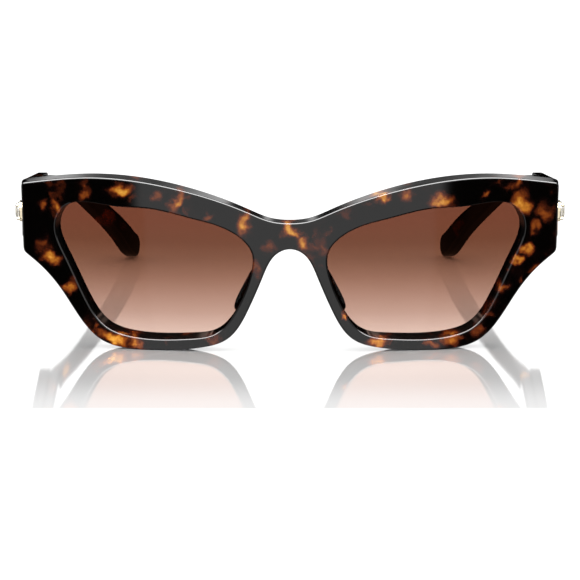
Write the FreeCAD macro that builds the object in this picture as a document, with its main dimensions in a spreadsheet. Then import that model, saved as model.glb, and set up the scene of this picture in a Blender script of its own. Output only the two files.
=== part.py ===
"""Cat eye sunglasses: a wrapped acetate front, two gradient lenses and two folding temples.

The frame has +Z up, +Y from the front towards the tips of the temples and +X towards the
wearer's left. Every piece is built on the right-hand half of the drawing (x above zero, the
wearer's left) and mirrored for the other side. Depths are measured back from the middle of the
front's face, then shifted so that the origin is under the middle of the whole object.
"""
import FreeCAD, Part
import math
import os

from FreeCAD import Placement, Rotation, Vector

SIZES = {
    # Whole object
    "origin_depth": 70.1,
    "front_lean": 3.0,
    "front_drop": 0.3,
    # Front
    "front_radius": 250.0,
    "back_radius": 247.0,
    "bridge_thickness": 5.4,
    "slab_half_width": 74.0,
    "slab_height": 120.0,
    "outline_depth": 60.0,
    "edge_chamfer": 0.4,
    # Lenses
    "lens_centre_x": 35.5,
    "lens_centre_z": 22.4,
    "lens_inset": 0.8,
    "lens_wrap": 8.2,
    "lens_radius": 120.0,
    "rim_focus": 400.0,
    "lens_thickness": 1.8,
    "rim_cover": 0.75,
    "cutter_front": 8.0,
    "cutter_back": 12.0,
    "ground_span": 200.0,
    "ground_depth": 10.0,
    # Nose pads
    "pad_across": 9.2,
    "pad_back": 5.8,
    "pad_up": 15.5,
    "pad_width": 2.6,
    "pad_depth": 5.5,
    "pad_length": 15.0,
    "pad_round": 1.1,
    "pad_frontal_angle": 27.6,
    "pad_splay_angle": 12.0,
    # Hinges
    "hinge_x": 64.2,
    "hinge_depth": 14.2,
    "hinge_z": 34.6,
    "mitre_angle": 15.5,
    "mitre_gap": 0.3,
    "barrel_radius": 1.55,
    "bore_clearance": 0.05,
    "screw_radius": 0.7,
    "knuckles": 5.0,
    "knuckle_height": 1.6,
    "knuckle_gap": 0.05,
    "leaf_reach": 1.75,
    "front_leaf_sink": 2.9,
    "front_web_width": 2.1,
    "leaf_thickness": 0.9,
    "front_leaf_length": 5.0,
    "leaf_length": 8.5,
    "leaf_setback": 1.0,
    "screw_head_radius": 1.3,
    "screw_head_height": 0.7,
    "screw_slot_width": 0.35,
    "screw_slot_depth": 0.35,
    # Temples
    "view_span": 170.0,
    "mitre_block_width": 40.0,
    "mitre_block_depth": 30.0,
    "mitre_block_height": 80.0,
    "mitre_inset": 4.0,
    "core_start_depth": 25.0,
    "core_start_z": 34.6,
    "core_start_x": 67.6,
    "core_half": 0.6,
    # Crystals
    "crystal_depth": 19.5,
    "crystal_z": 34.9,
    "bar_face_x": 71.97,
    "cup_radius": 2.9,
    "cup_height": 0.9,
    "cup_seat": 0.3,
    "girdle_radius": 2.55,
    "table_radius": 1.35,
    "crystal_crown": 1.1,
    "crystal_pavilion": 0.8,
    "girdle_height": 0.2,
    "culet_share": 0.25,
    "prong_radius": 0.35,
    "peg_radius": 0.8,
    "peg_length": 2.2,
}

# The right half of the front's outline, seen from the front: (across, up).
TOP_EDGE = [(0, 35.5), (5, 36), (11, 38.3), (29, 44.1), (53, 46.7), (71.7, 44.2)]
SIDE_CORNER = (71.3, 25.5)
LOWER_EDGE = [
    SIDE_CORNER, (66.5, 21.7), (61, 15.4), (56, 7.8), (50.5, 2.3), (44.5, 0.4), (34.5, 0), (24, 1.1),
    (17, 3.4), (11, 11.9), (7, 21.3), (3.5, 27.1), (0, 28.4),
]

# How much the back of the front swells over its arc between the bridge and the hinges: (across, extra).
REAR_SWELL = [(0, -0.4), (13, 0), (31, 1.4), (47, 0.7), (60, 0), (67, 0), (74, 0)]

# The edge of the left lens's opening, level with the lens's foremost point and about it: (outwards, up).
LENS_EDGE = [
    (25.2, 15.7), (11.9, 16.7), (2, 16.3), (-9.3, 14), (-20.1, 10.5), (-25.6, 4.6), (-25.1, -1.6),
    (-22.1, -9.3), (-15.5, -17.4), (-8.8, -18.8), (0, -19.2), (7.8, -18.5), (13.5, -16.4), (19.1, -9.1),
    (24.7, 2.6), (27.3, 11.6),
]

# Temple bar, the outer layer: side view (depth, up) and plan (depth, across).
BAR_SIDE = [(10, 44.3), (97.5, 32.8), (101, 31.3), (101.5, 27), (100, 25.7), (60, 26.2), (10, 28.2)]
BAR_PLAN = [(10, 71.9), (101.6, 73.4), (101.6, 70.3), (10, 69)]

# Temple arm, the inner layer with the drop behind the ear: side view, then plan.
ARM_TOP = [(95, 32.4), (104, 30.4), (111, 27.5), (118, 23), (138.5, 7.8)]
ARM_TIP = (142, 3.7)
ARM_BOTTOM = [(140, 0), (136.5, 1.2), (130.5, 6.3), (118, 18.2), (113, 22.3), (107.5, 24.8), (100, 25.6)]
ARM_FRONT_TOP = (10, 43.8)
ARM_FRONT_BOTTOM = (10, 28.1)
ARM_OUTER = [(97, 70.2), (104, 68.7), (110, 66), (116, 62.3), (130.5, 53), (137, 50), (145, 47.3)]
ARM_INNER = [(143.8, 44.5), (136, 47.2), (129, 50.4), (114.5, 59.7), (108.5, 63.3), (103, 65.8), (96, 67.2)]
ARM_FRONT_OUTER = (10, 69)
ARM_FRONT_INNER = (10, 66)

# Core wire: the middle line that it follows, side view and plan.
CORE_SIDE = [(96, 28.8), (104, 27.7), (110, 25.5), (117, 21.3), (129.5, 10.7)]
CORE_PLAN = [(96, 68.7), (103.5, 67.3), (109.2, 64.7), (115.2, 61.1), (129.5, 51.9)]

PRONGS = 4
CRYSTAL_SIDES = 8

DOC = FreeCAD.newDocument("cat_eye_sunglasses")


def make_sheet():
    sheet = DOC.addObject("Spreadsheet::Sheet", "sizes")
    for row, (name, value) in enumerate(SIZES.items(), start=1):
        sheet.set(f"A{row}", name)
        sheet.set(f"B{row}", str(value))
        sheet.setAlias(f"B{row}", name)
    DOC.recompute()
    return sheet


SHEET = make_sheet()


def size(name):
    return float(getattr(SHEET, name))


def back(depth):
    """The row frame's y for a depth behind the middle of the front's face."""
    return depth - size("origin_depth")


def bind(thing, **links):
    """Ties properties to sheet cells: each link is property=expression in the sheet's aliases."""
    for prop, text in links.items():
        words = [f"sizes.{w}" if w in SIZES else w for w in text.split()]
        thing.setExpression(prop.replace("__", "."), " ".join(words))
    return thing


# ---------------------------------------------------------------- drawing helpers


def new_body(name, placement=None):
    body = DOC.addObject("PartDesign::Body", name)
    body.Placement = placement or shifted()
    return body


def shifted(across=0.0, depth=0.0, up=0.0, rotation=None):
    return Placement(Vector(across, back(depth), up), rotation or Rotation())


def plane_of(body, role):
    return next(f for f in body.Origin.OriginFeatures if f.Role == role)


def sketch_on(body, role, name, edges, offset=0.0):
    sketch = body.newObject("Sketcher::SketchObject", name)
    sketch.AttachmentSupport = [(plane_of(body, role), "")]
    sketch.MapMode = "FlatFace"
    sketch.AttachmentOffset = Placement(Vector(0, 0, offset), Rotation())
    for edge in edges:
        sketch.addGeometry(edge, False)
    return sketch


def flat(point):
    return Vector(point[0], point[1], 0.0)


def line(start, end):
    return Part.LineSegment(flat(start), flat(end))


def curve(points, closed=False):
    spline = Part.BSplineCurve()
    spline.interpolate(Points=[flat(p) for p in points], PeriodicFlag=closed)
    return spline


def polygon(points):
    return [line(a, b) for a, b in zip(points, points[1:] + points[:1])]


def swapped(points):
    """(depth, across) as the (across, depth) that a plan sketch takes."""
    return [(across, depth) for depth, across in points]


def mirrored(points):
    """The same points with the first coordinate's sign changed, in the opposite order."""
    return [(-x, y) for x, y in reversed(points)]


def pad_both_ways(body, sketch, length):
    pad = body.newObject("PartDesign::Pad", f"{sketch.Name}_pad")
    pad.Profile = sketch
    pad.SideType = "Symmetric"
    bind(pad, Length=length)
    return pad


def two_view_solid(name, side_edges, plan_edges):
    """The solid whose side view and whose view from above are the two closed outlines."""
    side = new_body(f"{name}_side_view")
    pad_both_ways(side, sketch_on(side, "YZ_Plane", f"{name}_side", side_edges), "view_span")
    plan = new_body(f"{name}_plan_view")
    pad_both_ways(plan, sketch_on(plan, "XY_Plane", f"{name}_plan", plan_edges), "view_span")
    return common(f"{name}_form", side, plan)


def common(name, base, tool):
    thing = DOC.addObject("Part::MultiCommon", name)
    thing.Shapes = [base, tool]
    return thing


def cut(name, base, tool):
    thing = DOC.addObject("Part::Cut", name)
    thing.Base = base
    thing.Tool = tool
    return thing


def fuse(name, shapes):
    thing = DOC.addObject("Part::MultiFuse", name)
    thing.Shapes = shapes
    return thing


def box(name, placement, **links):
    thing = DOC.addObject("Part::Box", name)
    bind(thing, **links)
    thing.Placement = placement
    return thing


def cylinder(name, placement, **links):
    thing = DOC.addObject("Part::Cylinder", name)
    bind(thing, **links)
    thing.Placement = placement
    return thing


def mirror(name, source):
    thing = DOC.addObject("Part::Mirroring", name)
    thing.Source = source
    thing.Normal = Vector(1, 0, 0)
    thing.Base = Vector(0, 0, 0)
    return thing


# ---------------------------------------------------------------- the front and its lenses


def sag(radius, across):
    """How far an arc about the middle has bent back at a distance across."""
    return radius - math.sqrt(radius ** 2 - across ** 2)


def rear_depth(across):
    """The depth of the arc that the back of the front follows."""
    return size("bridge_thickness") + sag(size("back_radius"), across)


def front_placement():
    """The front stands on its rims and leans forward at the top."""
    lean = Rotation(Vector(1, 0, 0), size("front_lean"))
    return shifted(up=-size("front_drop"), rotation=lean)


def lens_placement():
    """At the lens's foremost point, turned outwards with the wrap of the front."""
    across = size("lens_centre_x")
    depth = sag(size("front_radius"), across) + size("lens_inset")
    turn = Rotation(Vector(0, 0, 1), size("lens_wrap"))
    return front_placement() * Placement(Vector(across, depth, size("lens_centre_z")), turn)


def front_blank():
    """A slab bent about the vertical, trimmed to the front's outline."""
    reach = size("slab_half_width")
    bend = sag(size("front_radius"), reach)
    face = Part.Arc(Vector(-reach, bend, 0), Vector(0, 0, 0), Vector(reach, bend, 0))
    behind = [(across, rear_depth(across) + extra) for across, extra in REAR_SWELL]
    rear = curve(mirrored(behind)[:-1] + behind)
    ends = [line(tuple(a)[:2], tuple(b)[:2]) for a, b in
            ((face.StartPoint, rear.StartPoint), (face.EndPoint, rear.EndPoint))]
    slab = new_body("front_slab", front_placement())
    pad_both_ways(slab, sketch_on(slab, "XY_Plane", "slab_plan", [face, rear] + ends), "slab_height")

    outline = new_body("front_outline", front_placement())
    edges = [
        curve(mirrored(TOP_EDGE)[:-1] + TOP_EDGE),
        line(TOP_EDGE[-1], SIDE_CORNER),
        curve(LOWER_EDGE + mirrored(LOWER_EDGE)[1:]),
        line(mirrored([SIDE_CORNER])[0], mirrored(TOP_EDGE)[0]),
    ]
    pad_both_ways(outline, sketch_on(outline, "XZ_Plane", "outline", edges), "outline_depth")
    return common("front_blank", slab, outline)


def lens_cone(name, cover):
    """A slight cone from a point far behind the lens through the opening's edge, widened by cover."""
    widths = [abs(x) for x, _ in LENS_EDGE]
    heights = [abs(z) for _, z in LENS_EDGE]
    wider = 1 + cover / max(widths)
    taller = 1 + cover / max(heights)
    focus = size("rim_focus")
    body = new_body(name, lens_placement())
    sketches = []
    for label, depth in (("near", -size("cutter_front")), ("far", size("cutter_back"))):
        grow = (focus - depth) / focus
        points = [(x * wider * grow, z * taller * grow) for x, z in LENS_EDGE]
        edge = curve(points, closed=True)
        sketches.append(sketch_on(body, "XZ_Plane", f"{name}_{label}", [edge], -depth))
    loft = body.newObject("PartDesign::AdditiveLoft", f"{name}_loft")
    loft.Profile = sketches[0]
    loft.Sections = [sketches[1]]
    return body


def make_lens():
    """A shell of two concentric spheres, cut to the lens's edge inside the groove."""
    centre = lens_placement() * Placement(Vector(0, size("lens_radius"), 0), Rotation())
    balls = []
    for side, radius in (("face", "lens_radius"), ("back", "lens_radius - lens_thickness")):
        ball = DOC.addObject("Part::Sphere", f"lens_{side}_ball")
        bind(ball, Radius=radius)
        ball.Placement = centre
        balls.append(ball)
    shell = cut("lens_shell", *balls)
    return common("left_lens", shell, lens_cone("lens_blank", size("rim_cover")))


def edges_on_face(shape):
    """The numbers of the edges that lie in the front's curved face."""
    middle = front_placement() * Vector(0, size("front_radius"), 0)
    axis = front_placement().Rotation * Vector(0, 0, 1)
    found = []
    for number, edge in enumerate(shape.Edges, start=1):
        gaps = [abs((p - middle).cross(axis).Length - size("front_radius")) for p in edge.discretize(5)]
        if max(gaps) < 0.001:
            found.append(number)
    return found


def make_front(lens, leaf):
    """The blank with its two apertures, grooves, softened front edges and rest flats."""
    opening = lens_cone("aperture", 0.0)
    openings = fuse("apertures", [opening, mirror("right_aperture", opening)])
    pierced = cut("front_pierced", front_blank(), openings)
    DOC.recompute()
    soft = DOC.addObject("Part::Chamfer", "front_softened")
    soft.Base = pierced
    chamfer = size("edge_chamfer")
    soft.Edges = [(number, chamfer, chamfer) for number in edges_on_face(pierced.Shape)]
    corner = Vector(-size("ground_span") / 2, -size("ground_span") / 2, -size("ground_depth"))
    ground = box("ground", Placement(corner, Rotation()), Length="ground_span", Width="ground_span",
                 Height="ground_depth")
    tools = [ground, lens, mirror("right_lens", lens), leaf, mirror("right_front_hinge_leaf", leaf)]
    return cut("front_frame", soft, fuse("front_recesses", tools))


def make_nose_pad(front, lens):
    """A rounded block glued behind the nose side of the rim, flared to the nose."""
    tilt = Rotation(Vector(0, 1, 0), -size("pad_frontal_angle"))
    splay = Rotation(Vector(0, 0, 1), -size("pad_splay_angle"))
    centre = Placement(Vector(size("pad_across"), size("pad_back"), size("pad_up")), tilt * splay)
    corner = Placement(Vector(0, 0, -size("pad_length") / 2), Rotation())
    blank = box("pad_blank", front_placement() * centre * corner, Length="pad_width", Width="pad_depth",
                Height="pad_length")
    DOC.recompute()
    rounded = DOC.addObject("Part::Fillet", "pad_rounded")
    rounded.Base = blank
    radius = size("pad_round")
    rounded.Edges = [(number, radius, radius) for number in range(1, 13)]
    return cut("left_nose_pad", rounded, fuse("pad_seat", [front, lens]))


# ---------------------------------------------------------------- the hinge


def lifted(up, across=0.0, depth=0.0):
    return Placement(Vector(across, depth, up), Rotation())


def hinge_placement(turn=0.0):
    return shifted(size("hinge_x"), size("hinge_depth"), size("hinge_z"), Rotation(Vector(0, 0, 1), turn))


def hinge_half():
    """Half of the height of the knuckles together."""
    return size("knuckle_height") * size("knuckles") / 2


def knuckle_levels(first):
    """The heights of every second knuckle, counted from the lowest, about the hinge's middle."""
    numbers = range(first, int(size("knuckles")), 2)
    return [number * size("knuckle_height") - hinge_half() for number in numbers]


def leaf(name, turn, first, plate_corner, plate_size, web_corner, web_size, bore):
    """A plate let into the acetate, with webs out to its knuckles about the hinge axis."""
    place = hinge_placement(turn)
    solid = []
    for number, level in enumerate(knuckle_levels(first)):
        solid.append(cylinder(f"{name}_knuckle_{number}", place * lifted(level), Radius="barrel_radius",
                              Height="knuckle_height - knuckle_gap"))
        solid.append(box(f"{name}_web_{number}", place * lifted(level, *web_corner),
                         Length=web_size[0], Width=web_size[1],
                         Height="knuckle_height - knuckle_gap"))
    solid.append(box(f"{name}_plate", place * lifted(-hinge_half(), *plate_corner), Length=plate_size[0],
                     Width=plate_size[1], Height="knuckle_height * knuckles - knuckle_gap"))
    hole = cylinder(f"{name}_bore", place * lifted(-2 * hinge_half()), Radius=bore,
                    Height="knuckle_height * knuckles * 2")
    return cut(name, fuse(f"{name}_solid", solid), hole)


def make_front_leaf():
    """The plate is sunk below the back of the front, clear of the temple's mitred end."""
    corner = (-size("leaf_thickness"), -size("front_leaf_sink") - size("leaf_thickness"))
    web_size = ("front_web_width", "front_leaf_sink + leaf_thickness")
    return leaf("left_front_hinge_leaf", size("mitre_angle"), 0, corner,
                ("front_leaf_length", "leaf_thickness"), corner, web_size, "screw_radius")


def make_temple_leaf():
    plate_corner = (size("leaf_reach"), size("leaf_setback"))
    plate_size = ("leaf_thickness", "leaf_length + leaf_thickness * 2")
    web_size = ("leaf_reach + leaf_thickness", "leaf_reach + leaf_thickness")
    return leaf("left_temple_hinge_leaf", 0.0, 1, plate_corner, plate_size, (0.0, 0.0),
                web_size, "screw_radius + bore_clearance")


def make_screw():
    place = hinge_placement()
    seat = hinge_half() - size("knuckle_gap")
    shank = cylinder("screw_shank", place * lifted(-hinge_half()), Radius="screw_radius",
                     Height="knuckle_height * knuckles")
    head = cylinder("screw_head", place * lifted(seat), Radius="screw_head_radius",
                    Height="screw_head_height")
    low = seat + size("screw_head_height") - size("screw_slot_depth")
    slot_at = lifted(low, -2 * size("screw_head_radius"), -size("screw_slot_width") / 2)
    slot = box("screw_slot", place * slot_at, Length="screw_head_radius * 4", Width="screw_slot_width",
               Height="screw_slot_depth * 2")
    return cut("left_hinge_screw", fuse("screw_solid", [shank, head]), slot)


# ---------------------------------------------------------------- the temples


def mitre_block():
    """Everything forward of the plane that the temple's front end is cut to."""
    across = size("bar_face_x") - size("mitre_inset")
    turn = Rotation(Vector(0, 0, 1), size("mitre_angle"))
    face = front_placement() * Placement(Vector(across, rear_depth(across) + size("mitre_gap"), 0), turn)
    corner = lifted(-size("ground_depth"), -size("mitre_block_width") / 2, -size("mitre_block_depth"))
    return box("mitre_block", face * corner, Length="mitre_block_width", Width="mitre_block_depth",
               Height="mitre_block_height")


def make_arm(block, temple_leaf, core):
    side = [
        line(ARM_FRONT_TOP, ARM_TOP[0]),
        curve(ARM_TOP),
        Part.Arc(flat(ARM_TOP[-1]), flat(ARM_TIP), flat(ARM_BOTTOM[0])),
        curve(ARM_BOTTOM),
        line(ARM_BOTTOM[-1], ARM_FRONT_BOTTOM), line(ARM_FRONT_BOTTOM, ARM_FRONT_TOP),
    ]
    outer, inner, (front_outer, front_inner) = (
        swapped(points) for points in (ARM_OUTER, ARM_INNER, [ARM_FRONT_OUTER, ARM_FRONT_INNER]))
    plan = [
        line(front_outer, outer[0]), curve(outer), line(outer[-1], inner[0]), curve(inner),
        line(inner[-1], front_inner), line(front_inner, front_outer),
    ]
    form = two_view_solid("arm", side, plan)
    return cut("left_temple_arm", form, fuse("arm_recesses", [block, temple_leaf, core]))


def make_bar(block, setting):
    form = two_view_solid("bar", polygon(BAR_SIDE), polygon(swapped(BAR_PLAN)))
    return cut("left_temple_bar", form, fuse("bar_recesses", [block, setting]))


def band(points, start):
    """A closed strip of the wire's thickness about a line of points that begins at start."""
    half = size("core_half")
    upper = [(a, b + half) for a, b in points]
    lower = [(a, b - half) for a, b in reversed(points)]
    begin_up = (start[0], start[1] + half)
    begin_low = (start[0], start[1] - half)
    return [line(begin_up, upper[0]), curve(upper), line(upper[-1], lower[0]), curve(lower),
            line(lower[-1], begin_low), line(begin_low, begin_up)]


def flip(edges):
    """The same edges with depth upwards and distance across to the right."""
    turned = []
    for edge in edges:
        if isinstance(edge, Part.LineSegment):
            turned.append(line((edge.StartPoint.y, edge.StartPoint.x), (edge.EndPoint.y, edge.EndPoint.x)))
        else:
            poles = [Vector(p.y, p.x, 0) for p in edge.getPoles()]
            knots = edge.getMultiplicities(), edge.getKnots()
            copy = Part.BSplineCurve()
            copy.buildFromPolesMultsKnots(poles, *knots, False, edge.Degree)
            turned.append(copy)
    return turned


def make_core():
    side = band(CORE_SIDE, (size("core_start_depth"), size("core_start_z")))
    plan = flip(band(CORE_PLAN, (size("core_start_depth"), size("core_start_x"))))
    return two_view_solid("core", side, plan)


# ---------------------------------------------------------------- the crystals


def crystal_placement(out=0.0):
    """On the bar's outer face, with the axis pointing outwards."""
    outward = Rotation(Vector(0, 1, 0), 90)
    return shifted(size("bar_face_x") + out, size("crystal_depth"), size("crystal_z"), outward)


def make_setting(crystal):
    cup = cylinder("cup", crystal_placement(-size("cup_seat")), Radius="cup_radius",
                   Height="cup_height + cup_seat")
    peg = cylinder("cup_peg", crystal_placement(-size("peg_length")), Radius="peg_radius",
                   Height="peg_length")
    pieces = [cup, peg]
    for number in range(PRONGS):
        angle = 2 * math.pi * (number + 0.5) / PRONGS
        around = lifted(0.0, size("girdle_radius") * math.cos(angle), size("girdle_radius") * math.sin(angle))
        pieces.append(cylinder(f"prong_{number}", crystal_placement() * around, Radius="prong_radius",
                               Height="cup_height + crystal_crown"))
    return cut("left_crystal_setting", fuse("setting_solid", pieces), crystal)


def ring_of(radius, height):
    """The corners of one level of the crystal."""
    angles = [2 * math.pi * (n + 0.5) / CRYSTAL_SIDES for n in range(CRYSTAL_SIDES)]
    return [Vector(radius * math.cos(angle), radius * math.sin(angle), height) for angle in angles]


def facet(corners):
    return Part.Face(Part.makePolygon(corners + corners[:1]))


def make_crystal():
    """A round stone: a pavilion from a small flat end to the girdle and a crown up to its table."""
    seat = size("cup_height")
    girdle = size("girdle_radius")
    rings = [
        ring_of(girdle * size("culet_share"), seat - size("crystal_pavilion")),
        ring_of(girdle, seat),
        ring_of(girdle, seat + size("girdle_height")),
        ring_of(size("table_radius"), seat + size("crystal_crown")),
    ]
    faces = [facet(rings[0]), facet(rings[-1])]
    for low, high in zip(rings, rings[1:]):
        for n in range(CRYSTAL_SIDES):
            m = (n + 1) % CRYSTAL_SIDES
            faces.append(facet([low[n], low[m], high[m], high[n]]))
    stone = DOC.addObject("Part::Feature", "left_crystal")
    stone.Shape = Part.makeSolid(Part.makeShell(faces))
    stone.Placement = crystal_placement()
    return stone


# ---------------------------------------------------------------- the whole object


def build():
    lens = make_lens()
    front_leaf = make_front_leaf()
    temple_leaf = make_temple_leaf()
    front = make_front(lens, front_leaf)
    pad = make_nose_pad(front, lens)
    screw = make_screw()
    core = make_core()
    crystal = make_crystal()
    setting = make_setting(crystal)
    block = mitre_block()
    arm = make_arm(block, temple_leaf, core)
    bar = make_bar(block, setting)
    left = {
        "lens": lens, "nose_pad": pad, "front_hinge_leaf": front_leaf, "temple_hinge_leaf": temple_leaf,
        "hinge_screw": screw, "temple_arm": arm, "temple_bar": bar, "core_wire": core,
        "crystal_setting": setting, "crystal": crystal,
    }
    nodes = {"front_frame": front}
    for name, thing in left.items():
        nodes[f"left_{name}"] = thing
        nodes[f"right_{name}"] = DOC.getObject(f"right_{name}") or mirror(f"right_{name}", thing)
    for name, thing in nodes.items():
        thing.Label = name
    DOC.recompute()
    return nodes


def check(nodes):
    for thing in DOC.Objects:
        bad = [state for state in thing.State if state in ("Invalid", "Error")]
        if bad:
            raise RuntimeError(f"{thing.Label} is {bad}")
    for name, thing in nodes.items():
        shape = thing.Shape
        if shape.isNull() or not shape.isValid() or not shape.Solids:
            raise RuntimeError(f"{name} is not a valid solid")
        box_now = shape.BoundBox
        print(f"{name:28s} {len(shape.Solids)} solid, {shape.Volume:9.2f} mm3,"
              f" x {box_now.XMin:7.2f} {box_now.XMax:7.2f} y {box_now.YMin:7.2f} {box_now.YMax:7.2f}"
              f" z {box_now.ZMin:6.2f} {box_now.ZMax:6.2f}")


def export(nodes):
    os.makedirs("parts", exist_ok=True)
    for name, thing in nodes.items():
        thing.Shape.exportStep(f"parts/{name}.step")


NODES = build()
check(NODES)
export(NODES)
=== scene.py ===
"""Looks for the cat eye sunglasses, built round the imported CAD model.

Lengths in the tables are millimetres, apart from the floor, camera and lamp, which are in metres.
Depths run back from the middle of the front's face, as in the CAD source. The place functions turn
them into the shared frame: +Z up, +Y from the front towards the tips of the temples, +X towards the
wearer's left.
"""

import math

import bmesh
import bpy
import numpy as np
from mathutils import Matrix, Vector
from mathutils.geometry import delaunay_2d_cdt


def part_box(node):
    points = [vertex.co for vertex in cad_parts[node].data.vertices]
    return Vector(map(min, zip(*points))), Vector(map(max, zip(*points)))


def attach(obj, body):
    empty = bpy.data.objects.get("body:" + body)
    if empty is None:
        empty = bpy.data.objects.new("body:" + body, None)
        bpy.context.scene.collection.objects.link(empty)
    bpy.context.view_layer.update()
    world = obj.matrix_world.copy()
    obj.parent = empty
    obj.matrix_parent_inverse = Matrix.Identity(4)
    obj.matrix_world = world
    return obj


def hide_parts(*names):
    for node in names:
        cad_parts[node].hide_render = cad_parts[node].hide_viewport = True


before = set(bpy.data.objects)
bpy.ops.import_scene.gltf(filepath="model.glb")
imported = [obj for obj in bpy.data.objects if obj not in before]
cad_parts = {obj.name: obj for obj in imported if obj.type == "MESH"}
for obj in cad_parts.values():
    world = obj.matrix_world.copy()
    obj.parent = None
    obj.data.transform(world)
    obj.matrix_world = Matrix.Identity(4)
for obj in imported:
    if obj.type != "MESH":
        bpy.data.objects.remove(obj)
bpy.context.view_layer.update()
MM = 0.001

# ------------------------------------------------------------------ sizes, as in the CAD source

ORIGIN_DEPTH = 70.1
LEAN = math.radians(3.0)
DROP = 0.3
FRONT_RADIUS = 250.0
BACK_RADIUS = 247.0
BRIDGE_THICKNESS = 5.4
LENS_CENTRE = (35.5, 22.4)
LENS_INSET = 0.8
LENS_WRAP = math.radians(8.2)
LENS_RADIUS = 120.0
LENS_THICKNESS = 1.8
RIM_FOCUS = 400.0
RIM_COVER = 0.75
MITRE_ACROSS = 67.97
MITRE_GAP = 0.3
MITRE_ANGLE = math.radians(15.5)

TOP_EDGE = [(0, 35.5), (5, 36), (11, 38.3), (29, 44.1), (53, 46.7), (71.7, 44.2)]
SIDE_CORNER = (71.3, 25.5)
LOWER_EDGE = [
    SIDE_CORNER, (66.5, 21.7), (61, 15.4), (56, 7.8), (50.5, 2.3), (44.5, 0.4), (34.5, 0), (24, 1.1),
    (17, 3.4), (11, 11.9), (7, 21.3), (3.5, 27.1), (0, 28.4),
]
REAR_SWELL = [(0, -0.4), (13, 0), (31, 1.4), (47, 0.7), (60, 0), (67, 0), (74, 0)]
LENS_EDGE = [
    (25.2, 15.7), (11.9, 16.7), (2, 16.3), (-9.3, 14), (-20.1, 10.5), (-25.6, 4.6), (-25.1, -1.6),
    (-22.1, -9.3), (-15.5, -17.4), (-8.8, -18.8), (0, -19.2), (7.8, -18.5), (13.5, -16.4), (19.1, -9.1),
    (24.7, 2.6), (27.3, 11.6),
]
BAR_SIDE = [(10, 44.3), (97.5, 32.8), (101, 31.3), (101.5, 27), (100, 25.7), (60, 26.2), (10, 28.2)]
BAR_OUTER = [(10, 71.9), (101.6, 73.4)]
BAR_INNER = [(10, 69), (101.6, 70.3)]
ARM_TOP = [(95, 32.4), (104, 30.4), (111, 27.5), (118, 23), (138.5, 7.8)]
ARM_TIP = (142, 3.7)
ARM_BOTTOM = [(140, 0), (136.5, 1.2), (130.5, 6.3), (118, 18.2), (113, 22.3), (107.5, 24.8), (100, 25.6)]
ARM_FRONT_TOP = (10, 43.8)
ARM_FRONT_BOTTOM = (10, 28.1)
ARM_OUTER = [(97, 70.2), (104, 68.7), (110, 66), (116, 62.3), (130.5, 53), (137, 50), (145, 47.3)]
ARM_INNER = [(96, 67.2), (103, 65.8), (108.5, 63.3), (114.5, 59.7), (129, 50.4), (136, 47.2), (143.8, 44.5)]
ARM_FRONT_OUTER = (10, 69)
ARM_FRONT_INNER = (10, 66)
PAD_CORNER = (9.2, 5.8, 15.5)
PAD_HALF = (1.3, 2.75, 7.5)
PAD_TILT = math.radians(27.6)
PAD_SPLAY = math.radians(12)

SIDES = {"left": 1.0, "right": -1.0}


# ------------------------------------------------------------------ camera, floor and light


CAMERA_PITCH = math.radians(10.93)
CAMERA_LENS = 238.0
CAMERA_PLACE = (0.0, -1.0701, 0.210)


def make_camera():
    data = bpy.data.cameras.new("camera")
    data.lens = CAMERA_LENS
    data.clip_start = 0.01
    camera = bpy.data.objects.new("camera", data)
    camera.location = CAMERA_PLACE
    camera.rotation_euler = (math.pi / 2 - CAMERA_PITCH, 0.0, 0.0)
    bpy.context.scene.collection.objects.link(camera)
    bpy.context.scene.camera = camera


class Nodes:
    """Short calls for making a node tree."""

    def __init__(self, tree):
        self.tree = tree
        tree.nodes.clear()

    def add(self, kind, inputs=(), **settings):
        node = self.tree.nodes.new(kind)
        for name, value in settings.items():
            setattr(node, name, value)
        for key, value in dict(inputs).items():
            if isinstance(value, bpy.types.NodeSocket):
                self.tree.links.new(value, node.inputs[key])
            else:
                node.inputs[key].default_value = value
        return node

    def math(self, operation, a, b=0.0):
        return self.add("ShaderNodeMath", {0: a, 1: b}, operation=operation).outputs[0]

    def vector(self, operation, a, b=(0.0, 0.0, 0.0)):
        return self.add("ShaderNodeVectorMath", {0: a, 1: b}, operation=operation).outputs[0]

    def fade(self, value, start, end, low=0.0, high=1.0):
        """low up to start, high from end on, with a soft step between them."""
        if start > end:
            start, end, low, high = end, start, high, low
        node = self.add("ShaderNodeMapRange", {"Value": value, "From Min": start, "From Max": end,
                                               "To Min": low, "To Max": high},
                        interpolation_type="SMOOTHSTEP", clamp=True)
        return node.outputs["Result"]

    def ramp(self, value, stops):
        node = self.add("ShaderNodeValToRGB", {"Fac": value})
        ramp = node.color_ramp
        for number, (place, colour) in enumerate(stops):
            stop = ramp.elements[number] if number < 2 else ramp.elements.new(place)
            stop.position = place
            stop.color = (*colour, 1.0)
        return node.outputs["Color"]

    def noise(self, vector, scale, detail=2.0, roughness=0.5):
        return self.add("ShaderNodeTexNoise", {"Vector": vector, "Scale": scale, "Detail": detail,
                                               "Roughness": roughness})

    def mix_shader(self, share, one, other):
        """One shader where share is 0 and the other where it is 1."""
        return self.add("ShaderNodeMixShader", {0: share, 1: one.outputs[0], 2: other.outputs[0]})


# The studio as polished surfaces see it. Bearings are degrees from straight before the front.
# Meridians go from the horizon before the front (0) over the zenith (90) to the one behind (180).
PANEL = 1.1
PANEL_EDGE = 21.5
SIDE_FLAGS = (62.0, 74.0, 106.0, 118.0)
SIDE_LEVEL = 0.45
SOFTBOX = 20.0
SOFTBOX_FROM = 46.0
SOFTBOX_TO = 106.0
SOFTBOX_REACH = 0.72
GAP_LEVEL = 0.03
BEHIND_FROM = 155.0
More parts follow.
